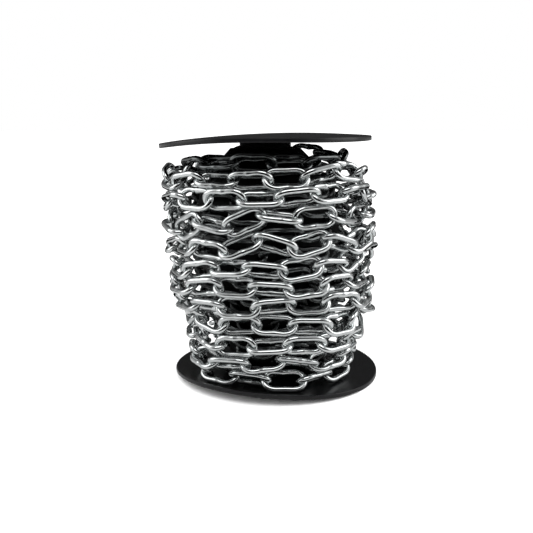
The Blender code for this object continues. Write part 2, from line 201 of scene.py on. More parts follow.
def plastic_finish(name):
    """Satin black polystyrene with flow marks and mould grain."""
    finish, tree, shader = new_finish(name)
    place = add_node(tree, "ShaderNodeTexCoord").outputs["Object"]
    flow = add_node(tree, "ShaderNodeTexNoise", Vector=place, Scale=1.0 / FLOW_MARK, Detail=4.0)
    colour = blend_colours(tree, flow.outputs["Fac"], linear("#050506"), linear("#121214"))
    tree.links.new(colour, shader.inputs["Base Color"])
    rough = add_node(
        tree, "ShaderNodeMapRange",
        Value=flow.outputs["Fac"], To_Min=SATIN_ROUGHNESS[0], To_Max=SATIN_ROUGHNESS[1],
    )
    tree.links.new(rough.outputs[0], shader.inputs["Roughness"])
    grain = add_node(tree, "ShaderNodeTexNoise", Vector=place, Scale=1.0 / MOULD_GRAIN, Detail=2.0)
    bump = add_node(
        tree, "ShaderNodeBump",
        Height=grain.outputs["Fac"], Strength=GRAIN_STRENGTH, Distance=GRAIN_HEIGHT,
    )
    tree.links.new(bump.outputs[0], shader.inputs["Normal"])
    shader.inputs["IOR"].default_value = POLYSTYRENE_IOR
    shader.inputs["Specular IOR Level"].default_value = SOFT_SHEEN
    return finish


black_plastic = plastic_finish("satin_black_polystyrene")
print("plastic finish:", black_plastic.name)

# %% [markdown]
# ## The reel's measures
# The reel leans a little to its left. Its axis stands a few millimetres off
# centre on the floor and runs over by a fixed share of the height. The load
# has bent the upper flange: it tilts and its sides droop. The lower flange
# lies flat out to a radius of 50 mm and lifts off the floor at its front
# left edge.

# %% Reel
FLANGE_RADIUS = 92.5 * MM
FLANGE_THICKNESS = 4.0 * MM
UPPER_FLANGE_MID = 212.4 * MM
BARREL_RADIUS = 22.5 * MM
BARREL_BORE = 19.5 * MM
BARREL_TOP = 209.4 * MM
ARBOR_RADIUS = 13.0 * MM
PLUG_LENGTH = 12.0 * MM
GAP = 0.3 * MM
AXIS_FOOT = 5.3 * MM
LEAN = 0.0497
UPPER_TILT = 3.55 * MM
UPPER_DROOP = 3.65 * MM
LOWER_LIFT = 8.0 * MM
LOWER_LIFT_BEARING = math.radians(-27.0)
LOWER_LIFT_POWER = 2.5
FLAT_RADIUS = 50.0 * MM


def axis_x(height):
    """Where the leaning axis of the reel is at a height."""
    return AXIS_FOOT - LEAN * height


def lower_lift(x, y):
    """How far the lower flange lies above its flat middle."""
    radius = np.hypot(x, y)
    facing = np.maximum(0.0, np.cos(np.arctan2(x, -y) - LOWER_LIFT_BEARING))
    rise = np.maximum(0.0, (radius - FLAT_RADIUS) / (FLANGE_RADIUS - FLAT_RADIUS))
    return LOWER_LIFT * facing**2 * rise**LOWER_LIFT_POWER


def upper_bend(x, y):
    """How far the upper flange lies above a flat disc."""
    side = x / FLANGE_RADIUS
    depth = y / FLANGE_RADIUS
    curve = 0.5 * (side + side**3) + 0.5 * depth * (side - side**3)
    return UPPER_TILT * curve - UPPER_DROOP * side**2


def lowest_middle(x):
    """Height of the bent upper flange's middle at an x, where it is lowest."""
    side = x / FLANGE_RADIUS
    return UPPER_FLANGE_MID - UPPER_DROOP * side**2 + UPPER_TILT * np.minimum(side, side**3)


def no_bend(x, y):
    """For a piece that stays straight."""
    return 0.0


print("axis at the top, mm:", round(axis_x(UPPER_FLANGE_MID) / MM, 1))

# %% [markdown]
# ## From a mesh in the making to a piece
# Each piece of the object is one mesh with one finish. It rides on the
# object's only body, and the plain solids that it stands for are hidden.

# %% Finish a piece
def new_piece(name, bm, finish, stands_for, rounds_of_smoothing=0):
    """A smooth shaded object from a mesh, in place of plain solids."""
    mesh = bpy.data.meshes.new(name)
    bmesh.ops.recalc_face_normals(bm, faces=bm.faces)
    bm.to_mesh(mesh)
    bm.free()
    mesh.materials.append(finish)
    mesh.shade_smooth()
    piece = bpy.data.objects.new(name, mesh)
    bpy.context.scene.collection.objects.link(piece)
    if rounds_of_smoothing:
        smooth = piece.modifiers.new("round_wire", "SUBSURF")
        smooth.levels = rounds_of_smoothing
        smooth.render_levels = rounds_of_smoothing
    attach(piece, "root")
    if stands_for:
        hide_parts(*stands_for)
    return piece


# %% [markdown]
# ## Flanges
# Each flange is a thin disc with a hole for the spindle and a short plug
# that goes into the barrel. It could be a cylinder with holes cut into it,
# but a turned outline is simpler: draw half of the section once and spin it.
# The rim is rounded with a bevel, and the disc is bent at the end, when it
# has enough rings to follow the curve.

# %% Spin a section about the upright axis
REEL_SIDES = 128
RIM_ROUNDING = 0.9 * MM
RINGS_OF_DISC = 9
SAME_SPOT = 0.001 * MM
SAME_LINE = 0.01 * MM


def spin_section(outline):
    """A closed solid from a half section of (radius, height) points."""
    bm = bmesh.new()
    corners = [bm.verts.new((radius, 0.0, height)) for radius, height in outline]
    edges = [bm.edges.new((corners[k - 1], corners[k])) for k in range(len(corners))]
    bmesh.ops.spin(
        bm, geom=corners + edges, cent=(0, 0, 0), axis=(0, 0, 1),
        angle=2.0 * math.pi, steps=REEL_SIDES, use_merge=True,
    )
    bmesh.ops.remove_doubles(bm, verts=bm.verts, dist=SAME_SPOT)
    return bm


def edges_at(bm, radius, heights):
    """Edges that run round the axis at a radius and at one of the heights."""
    found = []
    for edge in bm.edges:
        start, end = (vert.co for vert in edge.verts)
        near = [abs(math.hypot(spot.x, spot.y) - radius) < SAME_LINE for spot in (start, end)]
        level = abs(start.z - end.z) < SAME_LINE
        wanted = any(abs(start.z - height) < SAME_LINE for height in heights)
        if all(near) and level and wanted:
            found.append(edge)
    return found


# %% Make a flange
def flange(plug_way):
    """A flat flange about its own middle, with its plug up or down."""
    half = FLANGE_THICKNESS / 2.0
    plug_radius = BARREL_BORE - GAP
    rings = np.linspace(plug_radius, FLANGE_RADIUS, RINGS_OF_DISC)
    outer_face = [(ARBOR_RADIUS, -half)] + [(radius, -half) for radius in rings]
    inner_face = [(radius, half) for radius in reversed(rings)]
    plug = [(plug_radius, half + PLUG_LENGTH), (ARBOR_RADIUS, half + PLUG_LENGTH)]
    outline = [(radius, plug_way * height) for radius, height in outer_face + inner_face + plug]
    bm = spin_section(outline)
    bmesh.ops.bevel(
        bm, geom=edges_at(bm, FLANGE_RADIUS, (-half, half)), offset=RIM_ROUNDING,
        segments=4, profile=0.5, affect="EDGES", material=-1,
    )
    bmesh.ops.bevel(
        bm, geom=edges_at(bm, ARBOR_RADIUS, (-plug_way * half,)), offset=RIM_ROUNDING / 2.0,
        segments=2, profile=0.5, affect="EDGES", material=-1,
    )
    return bm


def bend_and_lean(bm, middle=0.0, bend=no_bend):
    """Lift a piece by its middle height, bend it, and move it onto the axis."""
    for vert in bm.verts:
        vert.co.z += middle + bend(vert.co.x, vert.co.y)
        vert.co.x += axis_x(vert.co.z)


lower = flange(1.0)
bend_and_lean(lower, FLANGE_THICKNESS / 2.0, lower_lift)
new_piece("lower_flange", lower, black_plastic, ["flange_bottom"])
upper = flange(-1.0)
bend_and_lean(upper, UPPER_FLANGE_MID, upper_bend)
new_piece("upper_flange", upper, black_plastic, ["flange_top"])
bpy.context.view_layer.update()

# %% [markdown]
# ## Barrel
# A plain tube between the flanges. Only a short band of it shows, under the
# upper flange, so a spun outline of four points is enough.

# %% Make the barrel
tube = spin_section([
    (BARREL_BORE, FLANGE_THICKNESS + GAP),
    (BARREL_RADIUS, FLANGE_THICKNESS + GAP),
    (BARREL_RADIUS, BARREL_TOP),
    (BARREL_BORE, BARREL_TOP),
])
bend_and_lean(tube)
new_piece("reel_barrel", tube, black_plastic, ["barrel"])
print("barrel is", round((BARREL_TOP - FLANGE_THICKNESS - GAP) / MM, 1), "mm long")

# %% [markdown]
# ## How the chain is wound
# The chain is one long line of hooks, the points where two links touch, a
# fixed pitch apart. Each turn of the outer layer has a row below, with the
# height and the radius of its hooks at five bearings, the bearing of one
# hook near the front, and how far the link beside it is rolled about the
# line. Bearing 0 is the front and 90 is the right side.
# A roll of 90 shows a link's full face, 0 its edge, and 45 lays it back.
# No hook lies quite in its row: it jogs up or down and in or out by a few mm.

# %% Rows of the outer layer
# The plain solids have wires with flat sides, whose corners lie a little
# further out than a round wire: WIRE_CORNER. The least spans keep every
# second hook apart, so that the chain can't fold sharply. NEAREST_WIRES is
# the least distance between the middles of two wires.
WIRE_RADIUS = 2.5 * MM
WIRE_CORNER = 2.6 * MM
LINK_LENGTH = 40.0 * MM
LINK_WIDTH = 20.0 * MM
PITCH = 29.2 * MM
LEAST_SPAN = 55.2 * MM
LEAST_SPAN_BETWEEN_TURNS = 56.9 * MM
TIP_ANGLE = math.radians(27.0)
NEAREST_WIRES = 6.1 * MM
# The winding reaches this far out. It bulges more at the sides.
WINDING_LIMIT = 90.8 * MM
SIDE_BULGE = 5.5 * MM
SIDE_LIMIT = 97.1 * MM
# The back of a turn rounds its number of links up a little early, so that it
# lies slack and not tight.
SLACK = 0.15
JOG_UP = 3.2
JOG_OUT = 3.6
BEARINGS = (-90.0, -45.0, 0.0, 45.0, 90.0)
# Where a turn has come round to the left again and meets the next one.
NEXT_TURN = 270.0
TURNS = (
    ((12, 12, 13, 17, 18), (66, 70, 73, 67, 64), -4.5, -45),
    ((21, 27, 33, 35, 34), (73, 74, 76, 70, 66), -15.9, -45),
    ((36, 42, 49, 57, 52), (73, 75, 80, 80, 78), 4.7, 62),
    ((52, 58, 65, 72, 67), (76, 78, 80, 82, 85), -11.4, -45),
    ((68, 76, 82, 86, 81), (84, 83, 82, 83, 87), -10.5, 45),
    ((85, 94, 99, 101, 95), (88, 84, 81, 83, 87), 8.6, -45),
    ((103, 110, 116, 115, 109), (85, 84, 83, 84, 86), -12.0, 45),
    ((121, 127, 133, 131, 123), (89, 84, 83, 84, 86), -5.7, 45),
    ((139, 143, 149, 145, 138), (90, 85, 83, 84, 87), -2.0, -12),
    ((156, 160, 164, 161, 153), (90, 85, 83, 85, 90), 5.0, 45),
    ((174, 178, 181, 181, 172), (88, 80, 76, 80, 86), 20.1, 45),
    ((182, 187, 194, 193, 189), (62, 62, 62, 64, 70), 4.0, -45),
)

print("outer turns:", len(TURNS))

# %% [markdown]
# ## Hooks and rolls
# From the rows come the hooks of the whole chain, one after the other round
# the reel, and the roll of every link. Two hooked links of a chain always
# stand about a quarter turn apart, so the rolls between two known ones are
# filled in with steps of 90 degrees and the difference is shared out.

# %% A repeatable scatter
# The last digits of a stretched sine look like chance, but come out the same
# in every run. A shift keeps two uses for one link from moving together.
SCATTER_START = 2.6
SCATTER_STEP = 12.9898
SCATTER_STRETCH = 437.585453
UP_SHIFT = 3
OUT_SHIFT = 5
TONE_SHIFT = 7


def scatter(index, low, high):
    """A repeatable value between low and high for a link."""
    value = math.sin(index * SCATTER_STEP + SCATTER_START) * SCATTER_STRETCH
    return low + (high - low) * (value - math.floor(value))


print("scatter of three links:", [round(scatter(index, -1.0, 1.0), 2) for index in range(3)])

# %% Hooks round the reel
FRONT_REACH = 86.0
LAST_BEARING = 245.0
ROLL_SCATTER = 20.0


def turn_step(radius):
    """Degrees between two hooks at a radius in mm."""
    return math.degrees(2.0 * math.asin(PITCH / (2.0 * MM * radius)))


def hooks_of_chain(rows):
    """Turn and bearing of each hook, and the rolls of the links in front."""
    hooks = []
    rolls = {}
    for turn, (_, radii, phase, roll) in enumerate(rows):
        step = turn_step(radii[2])
        before = int((FRONT_REACH + phase) // step)
        after = int((FRONT_REACH - phase) // step)
        if hooks:
            start = hooks[-1][1]
            span = phase - before * step + 360.0 - start
            behind = (rows[turn - 1][1][-1] + radii[0]) / 2.0
            count = round(span / turn_step(behind) + SLACK)
            for place in range(1, count):
                hooks.append((turn - 1, start + span * place / count))
        zero = len(hooks) + before
        for place in range(-before, after + 1):
            hooks.append((turn, phase + place * step))
        for place in range(-before, after):
            twist = scatter(zero + place, -ROLL_SCATTER, ROLL_SCATTER)
            rolls[zero + place] = roll + 90.0 * place + twist
        rolls[zero] = roll
    start = hooks[-1][1]
    for place in range(1, 1 + int((LAST_BEARING - start) // step)):
        hooks.append((turn, start + place * step))
    return hooks, rolls


print("hooks in the outer layer:", len(hooks_of_chain(TURNS)[0]))

# %% Rolls of all links
def roll_of_links(known, count):
    """Rolls of all links. Each turns about 90 degrees from the one before."""
    rolls = [0.0] * count
    places = sorted(known)
    for index in range(count):
        earlier = max([place for place in places if place <= index], default=places[0])
        later = min([place for place in places if place > earlier], default=earlier)
        steps = later - earlier
        extra = 0.0
        if steps > 0:
            extra = (known[later] - known[earlier] - 90.0 * steps + 90.0) % 180.0 - 90.0
            extra = extra / steps
        rolls[index] = known[earlier] + (90.0 + extra) * (index - earlier)
    return np.radians(np.array(rolls))


filled = np.degrees(roll_of_links({0: 45.0, 2: 245.0}, 3)).round(1)
print("rolls from 45 to 245 degrees:", filled.tolist())

# %% The place of a hook
def place_hook(rows, index, turn, bearing):
    """A hook's point from its turn's heights and radii, a little out of line."""
    heights, radii = rows[turn][:2]
    next_heights, next_radii = rows[min(turn + 1, len(rows) - 1)][:2]
    stations = BEARINGS + (NEXT_TURN,)
    height = np.interp(bearing, stations, tuple(heights) + (next_heights[0],))
    radius = np.interp(bearing, stations, tuple(radii) + (next_radii[0],))
    height = (height + scatter(index + UP_SHIFT, -JOG_UP, JOG_UP)) * MM
    radius = (radius + scatter(index + OUT_SHIFT, -JOG_OUT, JOG_OUT)) * MM
    turned = math.radians(bearing)
    x = axis_x(height) + radius * math.sin(turned)
    return x, -radius * math.cos(turned), height


first_hook = place_hook(TURNS, 0, 0, BEARINGS[0])
print("a hook at the lower left, mm:", [round(float(part) / MM, 1) for part in first_hook])

# %% [markdown]
# ## Settling the chain
# Links that are only set on a line would run through each other. A simple
# settling lets them find room, as a loose winding does: links whose wires
# come too near push each other away, nothing may go into the inner turns or
# through a flange, and after every push the hooks are drawn back to their
# pitch. A few hundred rounds of this come to rest. A full rigid body
# simulation could do it too, but it would be slow and harder to repeat.

# %% Frames and wires of the links
def link_frames(points, rolls):
    """Centre, long direction, broad direction and face normal of each link."""
    centres = (points[1:] + points[:-1]) / 2.0
    along = points[1:] - points[:-1]
    along /= np.linalg.norm(along, axis=1)[:, None]
    out = centres.copy()
    out[:, 0] -= axis_x(centres[:, 2])
    out[:, 2] = 0.0
    out -= np.sum(out * along, axis=1)[:, None] * along
    out /= np.linalg.norm(out, axis=1)[:, None]
    up = np.cross(out, along)
    broad = np.cos(rolls)[:, None] * out + np.sin(rolls)[:, None] * up
    return centres, along, broad, np.cross(along, broad)


def link_outline():
    """Eight points along the wire of a link, in the plane of the link."""
    half = (LINK_LENGTH - LINK_WIDTH) / 2.0
    bend = LINK_WIDTH / 2.0 - WIRE_RADIUS
    tip = bend * math.tan(TIP_ANGLE)
    quarter = [(half, bend), (half + bend, tip)]
    right = quarter + [(x, -y) for x, y in reversed(quarter)]
    return np.array(right + [(-x, -y) for x, y in right])


OUTLINE = link_outline()
print("outline of a link, mm:", (OUTLINE / MM).round(1).tolist())


def wire_points(points, rolls):
    """The eight wire points of every link, in space."""
    centres, along, broad, normal = link_frames(points, rolls)
    reach = OUTLINE[None, :, 0, None] * along[:, None, :]
    width = OUTLINE[None, :, 1, None] * broad[:, None, :]
    return centres[:, None, :] + reach + width


# %% Nearest points of two straight stretches of wire
# The least area of two directions and the least distance that are divided by.
LEAST_AREA = 1e-16
LEAST_DISTANCE = 1e-6


def nearest_of_segments(p, u, q, v):
    """Vector between the nearest points of segments p + s u and q + t v."""
    w = p - q
    a = np.sum(u * u, axis=-1)
    b = np.sum(u * v, axis=-1)
    c = np.sum(v * v, axis=-1)
    d = np.sum(u * w, axis=-1)
    e = np.sum(v * w, axis=-1)
    cross = a * c - b * b
    s = np.clip((b * e - c * d) / np.maximum(cross, LEAST_AREA), 0.0, 1.0)
    t = np.clip((b * s + e) / c, 0.0, 1.0)
    s = np.clip((b * t - d) / a, 0.0, 1.0)
    return w + s[..., None] * u - t[..., None] * v


rods = np.array([(0, 0, 0), (1, 0, 0), (0.5, -0.5, 1), (0, 1, 0)], dtype=float)
print("way between two crossed rods:", nearest_of_segments(*rods).tolist())


# %% Push links apart
def push_links_apart(points, rolls):
    """One push of every pair of links whose wires come too near."""
    wires = wire_points(points, rolls)
    sides = np.roll(wires, -1, axis=1) - wires
    centres = wires.mean(axis=1)
    apart = np.linalg.norm(centres[:, None] - centres[None], axis=2)
    first, second = np.nonzero(apart < LINK_LENGTH + 2.0 * WIRE_RADIUS)
    keep = second - first > 1
    first = first[keep]
    second = second[keep]
    between = nearest_of_segments(
        wires[first][:, :, None], sides[first][:, :, None],
        wires[second][:, None, :], sides[second][:, None, :],
    ).reshape(len(first), -1, 3)
    distance = np.linalg.norm(between, axis=2)
    closest = distance.argmin(axis=1)
    rows = np.arange(len(first))
    gap = distance[rows, closest]
    way = between[rows, closest] / np.maximum(gap, LEAST_DISTANCE)[:, None]
    lack = np.maximum(0.0, NEAREST_WIRES - gap)[:, None]
    push = np.zeros_like(centres)
    np.add.at(push, first, 0.5 * lack * way)
    np.add.at(push, second, -0.5 * lack * way)
    return push


# %% Keep links between what lies inside, outside, below and above
# Places of the wire points and of the middles between them, by which half
# of the link they are in. The middles of the long sides are in both.
FIRST_HALF = (4, 5, 6, 7, 11, 12, 13, 14, 15)
SECOND_HALF = (0, 1, 2, 3, 8, 9, 10, 11, 15)
# Room between the middle of a wire and a face: a fifth more than its corner
# reaches, and the gap that all neighbours keep.
MARGIN = 1.2 * WIRE_CORNER + GAP
print("wires keep", round(MARGIN / MM, 2), "mm from a face")


def keep_in_place(points, rolls, inside, outside):
    """Pushes on each link's two hooks, back between the two limits."""
    corners = wire_points(points, rolls)
    middles = (corners + np.roll(corners, -1, axis=1)) / 2.0
    wires = np.concatenate([corners, middles], axis=1)
    height = wires[..., 2]
    x = wires[..., 0] - axis_x(height)
    y = wires[..., 1]
    radius = np.hypot(x, y)
    inward = inside(height, x, y) + MARGIN - radius
    beyond = np.maximum(radius - outside(height, x, y), np.abs(wires[..., 0]) - SIDE_LIMIT)
    outward = beyond + WIRE_CORNER
    below = FLANGE_THICKNESS + lower_lift(x, y) + MARGIN - height
    above = height - lowest_middle(x) + FLANGE_THICKNESS / 2.0 + MARGIN
    out = np.stack([x.mean(axis=1), y.mean(axis=1), np.zeros(len(x))], axis=1)
    out /= np.linalg.norm(out, axis=1)[:, None]
    pushes = []
    for half in (FIRST_HALF, SECOND_HALF):
        worst_in = np.maximum(inward[:, half].max(axis=1), 0.0)
        worst_out = np.maximum(outward[:, half].max(axis=1), 0.0)
        push = (worst_in - worst_out)[:, None] * out
        push[:, 2] += np.maximum(below[:, half].max(axis=1), 0.0)
        push[:, 2] -= np.maximum(above[:, half].max(axis=1), 0.0)
        pushes.append(push)
    return pushes


# %% Hold the pitch and the bend
def hold_pitch(points):
    """Bring each two neighbouring hooks back to the pitch."""
    for start in (0, 1):
        right = points[start + 1 :: 2]
        left = points[start:-1:2][: len(right)]
        span = right - left
        length = np.linalg.norm(span, axis=1)[:, None]
        shift = 0.5 * (length - PITCH) / length * span
        points[start : start + 2 * len(right) : 2][: len(right)] += shift
        points[start + 1 :: 2] -= shift


def hold_bend(points, least):
    """Keep each hook's neighbours apart, so that no hook folds sharply."""
    span = points[2:] - points[:-2]
    length = np.linalg.norm(span, axis=1)[:, None]
    shift = 0.5 * np.maximum(0.0, least - length) / length * span
    points[2:] += shift
    points[:-2] -= shift


# %% Let a layer settle
# Each round takes this share of a push. In the first half of the rounds each
# hook is also drawn back to its row by a small share of the way.
PUSH_SHARE = 0.6
HOMING_SHARE = 0.03
PITCH_PASSES = 3
OUTER_ROUNDS = 400


def settle(rows, inside, outside, rounds):
    """Frames of a layer's links at rest, and the turn of each."""
    hooks, known = hooks_of_chain(rows)
    goal = np.array([place_hook(rows, index, *hook) for index, hook in enumerate(hooks)])
    rolls = roll_of_links(known, len(hooks) - 1)
    points = goal.copy()
    turns = np.array([turn for turn, _ in hooks[:-1]])
    joins = turns[1:] != turns[:-1]
    least = np.where(joins, LEAST_SPAN_BETWEEN_TURNS, LEAST_SPAN)[:, None]
    for count in range(rounds):
        push = push_links_apart(points, rolls)
        at_first, at_second = keep_in_place(points, rolls, inside, outside)
        share = np.zeros_like(points)
        share[:-1] += PUSH_SHARE * (push + at_first)
        share[1:] += PUSH_SHARE * (push + at_second)
        points += share
        if count < rounds // 2:
            points += HOMING_SHARE * (goal - points)
        hold_bend(points, least)
        for repeat in range(PITCH_PASSES):
            hold_pitch(points)
    return list(zip(*link_frames(points, rolls))), list(turns)


# %% Faces between the layers
# Outer face of the inner layer at the front, and at the sides and the back:
# height and radius in mm.
INNER_FRONT = (
    (4.4, 51.0), (42.0, 54.0), (60.0, 62.0), (78.0, 67.5),
    (158.0, 67.5), (174.0, 56.0), (203.0, 49.0),
)
INNER_SIDES = (
    (4.4, 51.0), (42.0, 56.0), (60.0, 65.0), (78.0, 72.5),
    (158.0, 73.5), (176.0, 64.0), (203.0, 49.0),
)


def face_radius(face, height):
    """Radius of a face at a height, from its heights and radii in mm."""
    heights, radii = zip(*face)
    return np.interp(height / MM, heights, radii) * MM


def blend_faces(front, sides, height, x, y):
    """Radius between a front face and a side face, by the direction."""
    ahead = np.maximum(0.0, -y) ** 2 / (x**2 + y**2)
    return face_radius(sides, height) * (1.0 - ahead) + face_radius(front, height) * ahead


def inner_face(height, x, y):
    """Radius of the inner layer's outer face, at a height and in a direction."""
    return blend_faces(INNER_FRONT, INNER_SIDES, height, x, y)


print("inner layer's radius half way up, mm:", round(float(inner_face(0.1, 1.0, 0.0)) / MM, 1))

# %% Settle the outer layer
# Reach of the cage and its weld about the line of a wire.
WELD_REACH = 4.4 * MM


def outer_limit(height, x, y):
    """Radius that the outer layer stays within."""
    return WINDING_LIMIT + SIDE_BULGE * x**2 / (x**2 + y**2)


def keep_in_box(links):
    """Links moved in where one would stand out of the plain solids' box."""
    straight = (LINK_LENGTH - LINK_WIDTH) / 2.0
    bend = LINK_WIDTH / 2.0 - WIRE_RADIUS
    kept = []
    for centre, along, broad, normal in links:
        reach = straight * np.abs(along) + bend * np.hypot(along, broad) + WELD_REACH
        low = np.array(solid_box[0]) + reach
        high = np.array(solid_box[1]) - reach
        kept.append((np.clip(centre, low, high), along, broad, normal))
    return kept


outer_links, outer_turns = settle(TURNS, inner_face, outer_limit, OUTER_ROUNDS)
outer_links = keep_in_box(outer_links)
print("links in the outer layer:", len(outer_links))

# %% [markdown]
# ## One link
# A link starts as a ring of four corners, which is drawn out along one side,
# spun round one end, drawn back along the other side and spun round the
# other end, until it meets itself. Subdivision turns this cage into a round
# wire, and pulls the cage inwards as it does: a square to two thirds of its
# radius, and a bend of 45 degree steps to nine tenths of its own. So the
# cage is made that much larger. In the middle of one side is the weld,
# where the wire is a little thicker.

# %% The cage of a link
CAGE_SIDES = 4
CAGE_RADIUS = WIRE_RADIUS * 1.5
CAGE_BEND = 8.3 * MM
BEND_STEPS = 4
SIDE_LINE = 7.5 * MM
HOOK_PLAY = 0.05 * MM
BEND_CENTRE = PITCH / 2.0 + WIRE_RADIUS - SIDE_LINE + HOOK_PLAY
BEND_START = BEND_CENTRE + 0.1 * MM
WELD_HALF = 2.6 * MM
WELD_SWELL = 1.28
BEND_FULLNESS = 1.1


def draw_out(bm, edges, step):
    """Extrude a ring of edges by a step and return the new ring."""
    made = bmesh.ops.extrude_edge_only(bm, edges=edges)["geom"]
    verts = [part for part in made if isinstance(part, bmesh.types.BMVert)]
    bmesh.ops.translate(bm, verts=verts, vec=step)
    return [part for part in made if isinstance(part, bmesh.types.BMEdge) and part.is_boundary]


def bend_round(bm, edges, centre_x):
    """Spin a ring of edges half a turn about one end of the link."""
    verts = list({vert for edge in edges for vert in edge.verts})
    made = bmesh.ops.spin(
        bm, geom=verts + edges, cent=(centre_x, 0.0, 0.0), axis=(0, 0, 1),
        angle=math.pi, steps=BEND_STEPS,
    )["geom_last"]
    return [part for part in made if isinstance(part, bmesh.types.BMEdge)]


def link_cage():
    """The cage of one link about its centre, long in X and broad in Y."""
    bm = bmesh.new()
    upright = Matrix.Rotation(math.radians(90.0), 4, "Y")
    spot = Matrix.Translation((0.0, -SIDE_LINE, 0.0)) @ upright
    corners = bmesh.ops.create_circle(
        bm, segments=CAGE_SIDES, radius=CAGE_RADIUS * WELD_SWELL, matrix=spot,
    )["verts"]
    ring = list({edge for vert in corners for edge in vert.link_edges})
    rise = CAGE_BEND - SIDE_LINE
    ring = draw_out(bm, ring, (WELD_HALF, 0.0, 0.0))
    thinner = Matrix.Scale(1.0 / WELD_SWELL, 4)
    verts = list({vert for edge in ring for vert in edge.verts})
    middle = Matrix.Translation((-WELD_HALF, SIDE_LINE, 0.0))
    bmesh.ops.transform(bm, matrix=thinner, space=middle, verts=verts)
    ring = draw_out(bm, ring, (BEND_CENTRE - WELD_HALF, -rise, 0.0))
    ring = bend_round(bm, ring, BEND_CENTRE)
    ring = draw_out(bm, ring, (-BEND_CENTRE, -rise, 0.0))
    ring = draw_out(bm, ring, (-BEND_CENTRE, rise, 0.0))
    ring = bend_round(bm, ring, -BEND_CENTRE)
    ring = draw_out(bm, ring, (BEND_CENTRE - WELD_HALF, rise, 0.0))
    first_ring = [edge for edge in bm.edges if edge.is_boundary and edge not in ring]
    bmesh.ops.bridge_loops(bm, edges=ring + first_ring)
    for vert in bm.verts:
        if abs(vert.co.x) > BEND_START:
            centre = Vector((math.copysign(BEND_CENTRE, vert.co.x), 0.0, vert.co.z))
            arm = vert.co - centre
            arm.length = CAGE_BEND + (arm.length - CAGE_BEND) * BEND_FULLNESS
            vert.co = centre + arm
    bmesh.ops.recalc_face_normals(bm, faces=bm.faces)
    mesh = bpy.data.meshes.new("link_cage")
    bm.to_mesh(mesh)
    bm.free()
    return mesh


cage = link_cage()
print("faces of one link:", len(cage.polygons))

# %% [markdown]
# ## Turns of links
# The cage is copied to the frame of each link. The weld is on either side
# of a link, because nobody sorts them: about every second link is turned end
# for end. Each link's faces also carry its tone, a small number that the zinc
# finish reads.

# %% Lay links
TONES = (-0.12, 0.16)
# Levels of subdivision that round the wire.
ROUND_WIRE = 2


def lay_links(frames, first_index):
    """A mesh of the links at their frames."""
    bm = bmesh.new()
    tone = bm.faces.layers.float.new("tone")
    for index, (centre, along, broad, _) in enumerate(frames, first_index):
        verts_before = len(bm.verts)
        faces_before = len(bm.faces)
        bm.from_mesh(cage)
        bm.verts.ensure_lookup_table()
        bm.faces.ensure_lookup_table()
        turned = -1.0 if scatter(index, 0.0, 1.0) < 0.5 else 1.0
        across = Vector(broad) * turned
        ahead = Vector(along) * turned
        columns = (ahead, across, ahead.cross(across))
        place = Matrix([list(row) for row in zip(*columns)]).to_4x4()
        place.translation = Vector(centre)
        bmesh.ops.transform(bm, matrix=place, verts=bm.verts[verts_before:])
        for face in bm.faces[faces_before:]:
            face[tone] = scatter(index + TONE_SHIFT, *TONES)
    return bm


# %% Make the outer turns
for turn in range(len(TURNS)):
    members = [link for link, own in zip(outer_links, outer_turns) if own == turn]
    node = f"chain_turn_{turn + 1:02d}"
    # The last turn lies under the upper flange, so it gets the darker zinc: its shade is painted
    # into the colour.
    finish = painted_shade_zinc if turn == len(TURNS) - 1 else zinc
    bm = lay_links(members, outer_turns.index(turn))
    new_piece(f"outer_{node}", bm, finish, [node], ROUND_WIRE)
print("outer turns are laid")

# %% [markdown]
# ## Inner turns
# Between the outer turns the next layer shows, half in shade. Its rows are
# evenly spaced, and each is turned a little against the one below. They
# settle in the room between the outer layer and a core, in the same way as
# the outer layer did, and get a darker copy of the zinc finish, with the
# shade painted into its colour.

# %% Rows of the inner layer
# Heights, slopes and depths in mm. A phase is a bearing in degrees.
INNER_FOOT = 12.5
INNER_SPACING = 17.4
INNER_COUNT = 11
INNER_SLOPES = (-2.0, -1.0, 1.0, 2.0, 0.0)
INNER_DEPTH = 10.4
INNER_ROLL = 45.0
INNER_PHASES = 9.0


def row_below(face, turn, foot, depth):
    """Heights, radii, phase and roll of a row of links that lies below a face."""
    heights = tuple(foot + INNER_SPACING * turn + slope for slope in INNER_SLOPES)
    radii = []
    for height, bearing in zip(heights, BEARINGS):
        turned = math.radians(bearing)
        reach = face(height * MM, math.sin(turned), -math.cos(turned))
        radii.append(float(reach) / MM - depth)
    return heights, radii, scatter(turn, INNER_PHASES, -INNER_PHASES), INNER_ROLL


inner_rows = tuple(
    row_below(inner_face, turn, INNER_FOOT, INNER_DEPTH) for turn in range(INNER_COUNT)
)
print("inner turns:", len(inner_rows))

# %% Settle the inner layer
INNER_ROUNDS = 240
# Outer face of the core: height and radius in mm.
CORE_FACE = (
    (4.4, 28.0), (42.0, 31.0), (60.0, 38.5), (78.0, 44.0),
    (150.0, 44.0), (174.0, 31.0), (203.0, 25.0),
)


def core_face(height, x, y):
    """Radius of the core at a height."""
    return face_radius(CORE_FACE, height)


def inner_limit(height, x, y):
    """Radius that the inner layer stays within."""
    return inner_face(height, x, y) - GAP


inner_links, inner_turns = settle(inner_rows, core_face, inner_limit, INNER_ROUNDS)
print("links in the inner layer:", len(inner_links))

# %% Make the inner turns
# Number of the layer's first link, so that its tones aren't the outer ones.
INNER_TONES = 500

# The inner turns get the darker zinc, with painted shade.
for turn in range(INNER_COUNT):
    members = [link for link, own in zip(inner_links, inner_turns) if own == turn]
    node = f"inner_turn_{turn + 1:02d}"
    bm = lay_links(members, INNER_TONES + inner_turns.index(turn))
    new_piece(f"shaded_{node}", bm, painted_shade_zinc, [node], ROUND_WIRE)
print("inner turns are laid")
